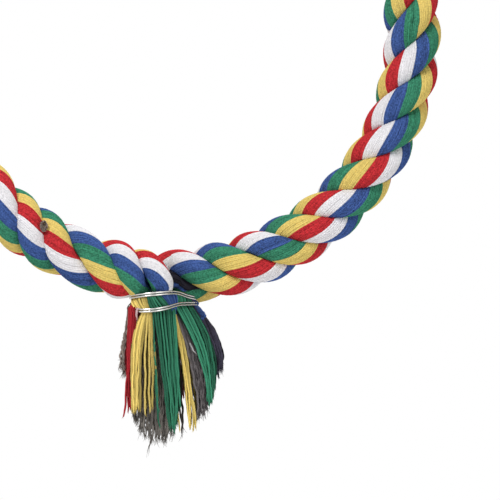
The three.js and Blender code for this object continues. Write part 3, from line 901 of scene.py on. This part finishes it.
for name, yarns, colour_name in (
    ("core_yarn_with_painted_shade_at_binding", core_yarns_with_painted_shade(), "navy"),
    ("core_yarn_fluff", knot_loops(), "brown_grey"),
):
    add_tubes(name, yarns, YARN_SIDES, "grey_yarn", LOOSE_YARN[colour_name])


# Binding wire

def loop_at(share, round_radius):
    """A loop round both rope ends after shares of one turn, from the middle of the back straight."""
    half = math.pi * round_radius
    straight = 2 * END_HALF_SPREAD
    around = 2 * (half + straight)
    walked = (share * around + around - straight / 2) % around
    rest = walked % (half + straight)
    flip = np.where(walked < half + straight, 1, -1)
    turn = math.pi / 2 + np.minimum(rest / round_radius, math.pi)
    slid = np.maximum(rest - half, 0)
    along = flip * (-END_HALF_SPREAD + round_radius * np.cos(turn) + slid)
    aside = flip * round_radius * np.sin(turn)
    x = END_BUNDLE_X + along * math.cos(END_TURN) - aside * math.sin(END_TURN)
    y = along * math.sin(END_TURN) + aside * math.cos(END_TURN)
    return x, y


def band_height(band, angle):
    """Height of a band's middle at an angle round the bundle."""
    drop, bow, peak, power = band
    return bow * ((1 + np.cos(angle - peak)) / 2) ** power - RING_RADIUS - drop


def binding_height(turns, angle):
    """Height of the wire, which goes down to the lower band in the last part of its upper turns."""
    upper = band_height(UPPER_BAND, angle) + BINDING_PITCH * (BINDING_TURNS_PER_BAND / 2 - turns)
    lower = band_height(LOWER_BAND, angle) + BINDING_PITCH * (BINDING_TURNS_PER_BAND * 1.5 - turns)
    return mix(upper, lower, ease(BINDING_TURNS_PER_BAND - BINDING_CHANGE, BINDING_TURNS_PER_BAND, turns))


def binding_tube():
    """The wire's turns, with a short straight end at its start and finish."""
    turn_count = 2 * BINDING_TURNS_PER_BAND
    turns = np.linspace(0, turn_count, turn_count * BINDING_STEPS_PER_TURN + 1)
    x, y = loop_at(turns, END_RADIUS + BINDING_CLEARANCE + BINDING_WIRE_DIAMETER / 2)
    points = np.stack([x, y, binding_height(turns, np.arctan2(y, x - END_BUNDLE_X))], axis=-1)
    start = points[0] + unit((points[0] - points[1]) * LEVEL) * BINDING_END_LENGTH
    end = points[-1] + unit((points[-1] - points[-2]) * LEVEL) * BINDING_END_LENGTH
    return Tube(np.vstack([start, points, end]) + RING_MIDDLE, UP, BINDING_WIRE_DIAMETER / 2)


add_tubes("binding_wire_wound", [binding_tube()], BINDING_SIDES, "bright_wire", BRIGHT_WIRE, "binding_wire")


# Tassel

def neck_place(share, reach):
    """Places under the binding: shares of the way round it, and of the way out from the bundle's middle."""
    x, y = loop_at(share % 1, END_RADIUS)
    return np.stack([END_BUNDLE_X + (x - END_BUNDLE_X) * reach, y * reach], axis=-1)


def neck_angle(share):
    x, y = neck_place(share, 1)
    return np.arctan2(y, x - END_BUNDLE_X)


def in_order(limits, count, disorder):
    """Evenly spread values from one limit to the other, with a little seeded disorder."""
    first, last = limits
    step = (last - first) / count
    return first + step * (np.arange(count) + 0.5 + rng.uniform(-disorder, disorder, count))


def ordered_tips(tuft, count, layer):
    """Tips spread along the tuft's named ones, in their order, with seeded scatter in x and z."""
    named = np.array(tuft.tips)
    place = np.linspace(0, len(named) - 1, count)
    tips = np.stack([np.interp(place, np.arange(len(named)), axis) for axis in named.T], axis=-1)
    tips += rng.normal(0, layer.scatter, (count, 2))
    tips[:, 1] += FRAY_TIP_RISE * tuft.fray[1] + layer.rise
    return tips


def frayed_end(tip, along, thickness, fray):
    """A few fine fibres that stand out of a cut yarn end."""
    count, length = fray
    way = np.linspace(0, 1, FRAY_STEPS)[:, None]
    fibres = []
    for _ in range(count):
        aside = rng.normal(0, FRAY_ASIDE, 3)
        curl = rng.normal(0, FRAY_CURL, 3)
        reach = length * rng.uniform(*FRAY_REACHES)
        start = tip - along * FRAY_ROOT + rng.normal(0, FRAY_SPREAD * thickness, 3)
        points = start + (FRAY_ROOT + reach) * way * along + reach * (aside * way + curl * way**2)
        radius = FRAY_RADIUS * thickness * (1 - FRAY_THINNING * way[:, 0])
        fibres.append(Tube(points, FRAY_FACING, radius, rng.uniform(*FRAY_TONES)))
    return fibres


def sideways(count, kink):
    """How far yarns stray aside on their way down: a slow sway, and kinks."""
    way = np.linspace(0, 1, TASSEL_YARN_STEPS)
    sway = wander(count, TASSEL_YARN_STEPS, TASSEL_SWAY_WAVES) * ease(0, TASSEL_SWAY_FULL, way)
    kinks = wander(count, TASSEL_YARN_STEPS, CRIMP_WAVES, crimp_rng) * ease(0, CRIMP_FULL, way)
    return TASSEL_SWAY * sway + kink * kinks


def hanging_yarns(tuft, tips, upper, lower, lean, reach, depth, tones):
    """Yarns from the upper band of wire to their tips, with frayed ends."""
    count = len(tips)
    off_middle = (tips[:, 0] - TASSEL_X) / TASSEL_HALF_WIDTH
    crown = np.sqrt(np.clip(1 - off_middle**2, TASSEL_LEAST_CROWN, 1))
    tip = np.stack([tips[:, 0], TASSEL_HALF_DEPTH * crown * depth, tips[:, 1]], axis=-1)
    way = np.linspace(0, 1, TASSEL_YARN_STEPS)
    neck_way = np.linspace(0, 1, NECK_STEPS)
    bulge = NECK_BULGE / END_RADIUS * np.sin(math.pi * neck_way)
    over = tuft.over * ease(NECK_OVER_START, 1, neck_way)
    kink = CORE_YARN_CRIMP if tuft.slot == "grey_yarn" else YARN_CRIMP
    stray_x = sideways(count, kink)
    stray_y = sideways(count, kink)
    tubes = []
    for yarn in range(count):
        place = neck_place(mix(upper[yarn], lower[yarn], neck_way), reach[yarn] * (1 + bulge) + over)
        top_z = band_height(UPPER_BAND, neck_angle(upper[yarn]))
        foot_z = band_height(LOWER_BAND, neck_angle(lower[yarn])) - NECK_RELEASE
        neck = np.column_stack([place, mix(top_z, foot_z, neck_way)])
        hang = mix(tip[yarn], neck[-1], ((1 - way) ** lean[yarn])[:, None])
        hang[:, 0] += stray_x[yarn]
        hang[:, 1] += stray_y[yarn]
        hang[:, 2] = mix(foot_z, tip[yarn, 2], way)
        points = RING_MIDDLE + np.vstack([neck[:-1], hang])
        thickness = TASSEL_YARN_RADIUS * rng.uniform(*TASSEL_YARN_SPREAD)
        last = len(points) - 1
        thinning = YARN_TIP_THINNING * ease(last - YARN_TIP_STEPS, last, np.arange(len(points)))
        tubes.append(Tube(points, BACK, thickness * (1 - thinning), tones[yarn]))
        tubes.extend(frayed_end(points[-1], unit(points[-1] - points[-3]), thickness, tuft.fray))
    return tubes


def tuft_layer(tuft, layer, count, reach, depth, tones, strays=()):
    """The cords of a tuft with its strays, or its inner yarn."""
    strays = np.array(strays).reshape(-1, 2)
    tips = np.vstack([ordered_tips(tuft, count, layer), strays])
    first_x, last_x = tuft.tips[0][0], tuft.tips[-1][0] + CLOSE
    place = np.clip((strays[:, 0] - first_x) / (last_x - first_x), 0, 1)
    upper, lower = (
        np.concatenate([in_order(places, count, layer.disorder), np.interp(place, (0, 1), places)])
        for places in (tuft.upper, tuft.lower)
    )
    return hanging_yarns(
        tuft, tips, upper, lower,
        np.concatenate([np.linspace(*tuft.lean, count), np.full(len(strays), STRAY_LEAN)]),
        reach + rng.uniform(*layer.reach, len(tips)),
        depth + rng.uniform(*layer.depth, len(tips)),
        rng.uniform(*tones, len(tips)),
    )


def tuft_tubes(tuft):
    tubes = tuft_layer(tuft, CORD_LAYER, tuft.cords, tuft.reach[0], tuft.depth[0], tuft.tones, tuft.strays)
    if tuft.inner:
        tubes += tuft_layer(tuft, INNER_LAYER, tuft.inner, tuft.reach[1], tuft.depth[1], INNER_PAINTED_SHADE_TONES)
    return tubes


for tuft in TUFTS:
    yarns = tuft_tubes(tuft)
    replaced = [tuft.name] if tuft.name in frame["nodes"] else []
    add_tubes(
        f"{tuft.name}_yarn", yarns, YARN_SIDES, tuft.slot, LOOSE_YARN[tuft.colour], *replaced
    )


# Hanger

LINK_BEND_RADIUS = (LINK_INSIDE_WIDTH + LINK_WIRE_DIAMETER) / 2
LINK_TOP_BEND_Z = -LINK_INSIDE_WIDTH / 2
LINK_FOOT_BEND_Z = -LINK_INSIDE_LENGTH + LINK_INSIDE_WIDTH / 2
NUT_FOOT_Z = LINK_FOOT_BEND_Z + NUT_FOOT_SPARE
LINK_MOUTH_FOOT_Z = NUT_FOOT_Z + LINK_STUD
LINK_MOUTH_TOP_Z = LINK_MOUTH_FOOT_Z + LINK_MOUTH


def link_points():
    """The link's wire from the top of its mouth over both bends to the foot of the mouth."""
    leg_top = np.arange(LINK_MOUTH_TOP_Z, LINK_TOP_BEND_Z, THREAD_STEP)
    points = [(LINK_BEND_RADIUS, 0, z) for z in leg_top]
    for bend_z, start_turn in ((LINK_TOP_BEND_Z, 0), (LINK_FOOT_BEND_Z, math.pi)):
        for turn in start_turn + np.linspace(0, math.pi, LINK_BEND_STEPS + 1):
            x, rise = LINK_BEND_RADIUS * math.cos(turn), LINK_BEND_RADIUS * math.sin(turn)
            points.append((x, 0, bend_z + rise))
    leg_foot = np.arange(LINK_FOOT_BEND_Z + THREAD_STEP, LINK_MOUTH_FOOT_Z, THREAD_STEP)
    points.extend((LINK_BEND_RADIUS, 0, z) for z in leg_foot)
    return np.array(points)


def cut_thread(corners, sides, rings):
    """Cuts a screw thread into the straight leg beside the mouth, and bevels both ends of the wire."""
    rows = corners.reshape(rings, sides, 3)
    middle = rows.mean(axis=1, keepdims=True)
    z = middle[:, 0, 2]
    on_leg = middle[:, 0, 0] > LINK_BEND_RADIUS - CLOSE
    upper = (z >= LINK_MOUTH_TOP_Z - CLOSE) & (z < LINK_MOUTH_TOP_Z + UPPER_THREAD_LENGTH)
    lower = (z <= LINK_MOUTH_FOOT_Z) & (z > LINK_FOOT_BEND_Z + THREAD_SPARE)
    threaded = on_leg & (upper | lower)
    arms = rows - middle
    turn = np.arctan2(arms[:, :, 1], arms[:, :, 0])
    groove = THREAD_DEPTH * (0.5 + 0.5 * np.cos(turn - 2 * math.pi * z[:, None] / THREAD_PITCH))
    from_mouth = np.minimum(np.abs(z - LINK_MOUTH_TOP_Z), np.abs(z - LINK_MOUTH_FOOT_Z))
    bevel = np.clip(LINK_END_BEVEL - from_mouth, 0, None)
    cut = np.maximum(groove, bevel[:, None]) * threaded[:, None]
    rows = middle + arms * (1 - cut[:, :, None] / np.linalg.norm(arms, axis=-1, keepdims=True))
    return rows.reshape(-1, 3)


def make_link():
    points = link_points()
    corners, walls, _, caps = tube_arrays(Tube(points, BACK, LINK_WIRE_DIAMETER / 2), LINK_SIDES)
    return mesh_object("quick_link_wire", cut_thread(corners, LINK_SIDES, len(points)), [walls, caps])


def make_nut():
    """A hexagon sleeve with chamfered ends and a countersunk bore."""
    turn = 2 * math.pi * np.arange(NUT_SIDES) / NUT_SIDES
    half = NUT_ACROSS_FLATS / 2
    hexagon = half / np.cos(turn % (math.pi / 3) - math.pi / 6)
    hexagon = np.minimum(hexagon, half / math.cos(math.pi / 6) - NUT_EDGE_ROUNDING)
    bore = np.full(NUT_SIDES, LINK_WIRE_DIAMETER / 2 + NUT_BORE_CLEARANCE)
    rings = [(np.minimum(hexagon, half + past), level) for level, past in NUT_CHAMFER]
    rings += [(reach, NUT_LENGTH - level) for reach, level in reversed(rings)]
    sunk = [(bore + NUT_COUNTERSINK, 0), (bore, NUT_COUNTERSINK)]
    rings += [(reach, NUT_LENGTH - level) for reach, level in sunk]
    rings += reversed(sunk)
    reach = np.array([reach for reach, _ in rings])
    height = np.array([np.full(NUT_SIDES, NUT_FOOT_Z + level) for _, level in rings])
    corners = np.stack([LINK_BEND_RADIUS + reach * np.cos(turn), reach * np.sin(turn), height], axis=-1)
    walls = grid_walls(len(rings), NUT_SIDES, closed=True)
    return mesh_object("sleeve_nut_hex", corners.reshape(-1, 3), [walls])


def make_hang_ring():
    """A round ring of wire with a weld bead where its ends meet."""
    radius = (HANG_RING_INSIDE + HANG_RING_WIRE_DIAMETER) / 2
    turn = 2 * math.pi * np.arange(HANG_RING_STEPS)[:, None] / HANG_RING_STEPS
    around = 2 * math.pi * np.arange(HANG_RING_SIDES) / HANG_RING_SIDES
    from_weld = np.abs((turn - WELD_TURN + math.pi) % (2 * math.pi) - math.pi) * radius
    ripple = 1 + WELD_RIPPLE * np.sin(from_weld * WELD_RIPPLE_RATE)
    wire = HANG_RING_WIRE_DIAMETER / 2 + WELD_HEIGHT * np.exp(-((from_weld / WELD_LENGTH) ** 2)) * ripple
    out = radius + wire * np.cos(around)
    height = HANG_FOOT_Z + radius + out * np.sin(turn)
    corners = np.stack([wire * np.sin(around), out * np.cos(turn), height], axis=-1)
    walls = grid_walls(HANG_RING_STEPS, HANG_RING_SIDES, closed=True)
    return mesh_object("hang_ring_welded", corners.reshape(-1, 3), [walls[:, ::-1]])


for body, make in (("quick_link", make_link), ("sleeve_nut", make_nut), ("hang_ring", make_hang_ring)):
    finish_piece(make(), body, "zinc_steel", ZINC, body)

core_wire = frame["nodes"]["core_wire"]
core_wire.data.materials.clear()
core_wire.data.materials.append(CORE_STEEL)


# Stage: a pale floor under the part, soft lamps, white behind, and the camera straight in front

def white_behind(tree):
    """1 for camera, glossy and transmission rays, which see plain white."""
    rays = [add_node(tree, "LightPath", f"Is {kind} Ray") for kind in ("Camera", "Glossy", "Transmission")]
    return add_math(tree, "MAXIMUM", add_math(tree, "MAXIMUM", rays[0], rays[1]), rays[2])


def make_world():
    world = bpy.data.worlds.new("studio")
    bpy.context.scene.world = world
    tree = node_tree(world)
    white = add_math(tree, "MULTIPLY", white_behind(tree), 1 - WORLD_STRENGTH)
    strength = add_math(tree, "ADD", white, WORLD_STRENGTH)
    set_inputs(tree, tree.nodes["Background"], {"Color": (1, 1, 1, 1), "Strength": strength})


def make_floor():
    """Pale paper that keeps the shadow, and fades to the white behind it before its edge."""
    bpy.ops.mesh.primitive_plane_add(size=FLOOR_SIZE, location=(0, 0, cad_box[0][2] - FLOOR_DROP))
    floor = bpy.context.active_object
    floor.name = "floor"
    material = bpy.data.materials.new("floor_paper")
    tree = node_tree(material)
    paper = tree.nodes["Principled BSDF"]
    set_inputs(tree, paper, {"Base Color": (0.86, 0.86, 0.86, 1), "Roughness": 0.9})
    place = add_node(tree, "TexCoord", "Object")
    reach = add_node(tree, "VectorMath", "Value", {0: place}, operation="LENGTH")
    limits = {"Value": reach, "From Min": FLOOR_FADE[0], "From Max": FLOOR_FADE[1]}
    fade = add_node(tree, "MapRange", "Result", limits, interpolation_type="SMOOTHSTEP")
    surface = add_node(tree, "MixShader", "Shader", {
        "Fac": add_math(tree, "MULTIPLY", fade, white_behind(tree)),
        1: paper.outputs["BSDF"],
        2: add_node(tree, "Emission", "Emission", {"Color": (1, 1, 1, 1)}),
    })
    tree.links.new(surface, tree.nodes["Material Output"].inputs["Surface"])
    floor.data.materials.append(material)


def add_lamp(name, place, width, power, view_z):
    """A round soft lamp that points at the middle of the view."""
    lamp = bpy.data.lights.new(name, "AREA")
    lamp.shape = "DISK"
    lamp.size = width
    lamp.energy = power
    holder = new_object(name, lamp)
    holder.location = Vector(place) + Vector((0, 0, view_z))
    holder.rotation_euler = (-Vector(place)).to_track_quat("-Z", "Y").to_euler()


def make_camera():
    """A camera with the photograph's frame. It gives the height of the middle of its view."""
    scale = RING_RADIUS / PHOTO_RING_RADIUS * MM
    x = (PHOTO_SIZE / 2 - PHOTO_RING_MIDDLE[0]) * scale
    z = RING_MIDDLE[2] * MM - (PHOTO_SIZE / 2 - PHOTO_RING_MIDDLE[1]) * scale
    data = bpy.data.cameras.new("camera")
    data.sensor_fit = "HORIZONTAL"
    data.sensor_width = SENSOR_WIDTH
    data.lens = SENSOR_WIDTH * CAMERA_DISTANCE / (PHOTO_SIZE * scale)
    camera = new_object("camera", data)
    camera.location = (x, -CAMERA_DISTANCE, z)
    camera.rotation_euler = (math.pi / 2, 0, 0)
    bpy.context.scene.camera = camera
    return z


view_z = make_camera()
make_world()
make_floor()
for name, (place, width, power) in LAMPS.items():
    add_lamp(name, place, width, power, view_z)
bpy.context.scene.view_settings.view_transform = "Standard"
